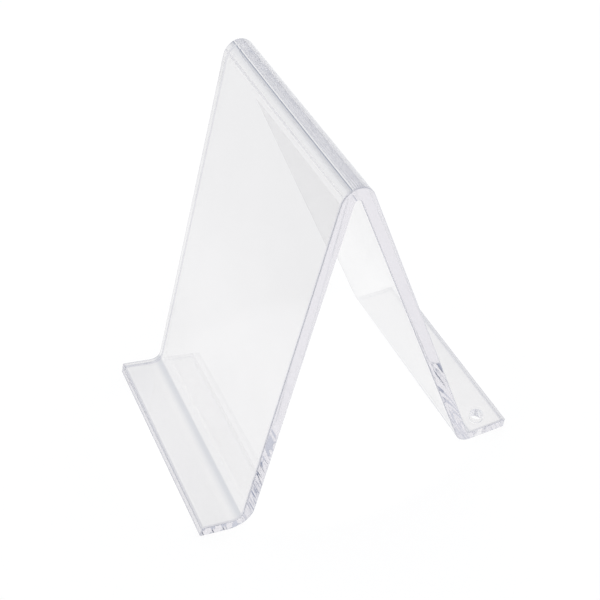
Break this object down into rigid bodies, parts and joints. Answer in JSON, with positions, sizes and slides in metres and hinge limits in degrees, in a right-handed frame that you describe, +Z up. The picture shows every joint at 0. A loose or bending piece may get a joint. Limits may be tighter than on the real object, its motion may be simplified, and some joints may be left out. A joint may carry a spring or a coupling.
{
  "type": "plate display stand",
  "caption": "Clear acrylic plate stand bent from one sheet: a front ledge, a panel leaning back to a rounded apex, and a rear leg ending in a flat foot with a screw hole.",
  "frame": {"origin": "centre of the stand's footprint, on the surface that it stands on", "axes": "+X along the bends to the right seen from the front, -Y to the front, +Z up"},
  "size_m": [0.075, 0.1132, 0.126],
  "materials": {
    "clear_acrylic": "clear acrylic with polished edges"
  },
  "bodies": {
    "root": {"bent_sheet": "clear_acrylic"}
  },
  "joints": []
}
